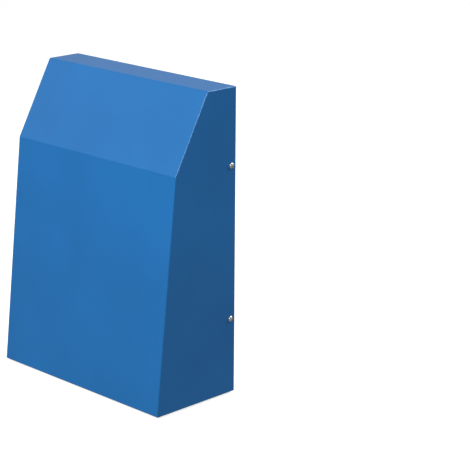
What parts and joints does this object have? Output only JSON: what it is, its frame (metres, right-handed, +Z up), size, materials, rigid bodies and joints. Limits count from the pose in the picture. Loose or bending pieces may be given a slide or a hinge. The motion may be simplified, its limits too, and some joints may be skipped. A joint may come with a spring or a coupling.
{
  "type": "exhaust hood fan",
  "caption": "Wall-mounted exhaust fan: folded steel casing with sloped hood, round duct spigot with rubber seal, outlet grille below and a motorised impeller inside.",
  "frame": {"origin": "centre of the duct spigot in the wall plane", "axes": "+Z up, +Y into the wall along the duct spigot, the casing's front faces -Y, +X to the right seen from the front"},
  "size_m": [0.3302, 0.1993, 0.4386],
  "materials": {
    "blue_paint": "gloss powder coat",
    "zinc_plate": "bright zinc plated",
    "galvanised_steel": "galvanised",
    "black_rubber": "semi-gloss EPDM",
    "cast_aluminium": "as cast",
    "black_steel": "satin black",
    "lamination_steel": "varnished laminations",
    "copper_wire": "enamelled",
    "bearing_steel": "ground",
    "grey_plastic": "moulded",
    "white_plastic": "moulded",
    "beige_plastic": "moulded",
    "brass": "plain",
    "grey_sheath": "satin sheath",
    "green_yellow_sheath": "satin sheath"
  },
  "bodies": {
    "housing": {"front_sheet": "blue_paint", "side_panel_left": "blue_paint", "side_panel_right": "blue_paint", "grille_panel": "blue_paint", "rear_frame": "blue_paint", "rear_plate": "blue_paint", "spigot_flange": "blue_paint", "duct_spigot": "blue_paint", "bridge_rivets": "blue_paint", "duct_gasket": "black_rubber", "supply_grommet": "black_rubber", "lead_bush": "black_rubber", "inlet_nozzle": "galvanised_steel", "motor_bridge": "galvanised_steel", "capacitor_clip": "galvanised_steel", "weld_studs": "zinc_plate", "stud_nuts": "zinc_plate", "casing_screws": "zinc_plate", "casing_nuts": "zinc_plate", "motor_screws": "zinc_plate", "lid_screws": "zinc_plate", "earth_stud": "zinc_plate", "earth_nut": "zinc_plate", "motor_flange": "cast_aluminium", "stator_core": "lamination_steel", "stator_coils": "copper_wire", "bearing_outer_rings": "bearing_steel", "bearing_cap": "grey_plastic", "terminal_box": "grey_plastic", "terminal_lid": "grey_plastic", "lead_gland": "grey_plastic", "terminal_block": "white_plastic", "capacitor": "beige_plastic", "terminal_screws": "brass", "motor_lead": "grey_sheath", "capacitor_lead": "grey_sheath", "earth_lead": "green_yellow_sheath", "earth_tag": "brass"},
    "rotor": {"rotor_can": "black_steel", "rotor_cage": "lamination_steel", "motor_shaft": "bearing_steel", "bearing_inner_rings": "bearing_steel", "bearing_balls": "bearing_steel", "shaft_circlip": "black_steel", "impeller_backplate": "black_steel", "impeller_blades": "black_steel", "impeller_shroud": "black_steel", "hub_rivets": "zinc_plate", "balance_clip": "black_steel"}
  },
  "joints": [
    {"name": "impeller_spin", "type": "hinge", "parent": "housing", "child": "rotor", "pos_m": [0, -0.07, 0], "axis": [0, 1, 0], "continuous": true}
  ]
}
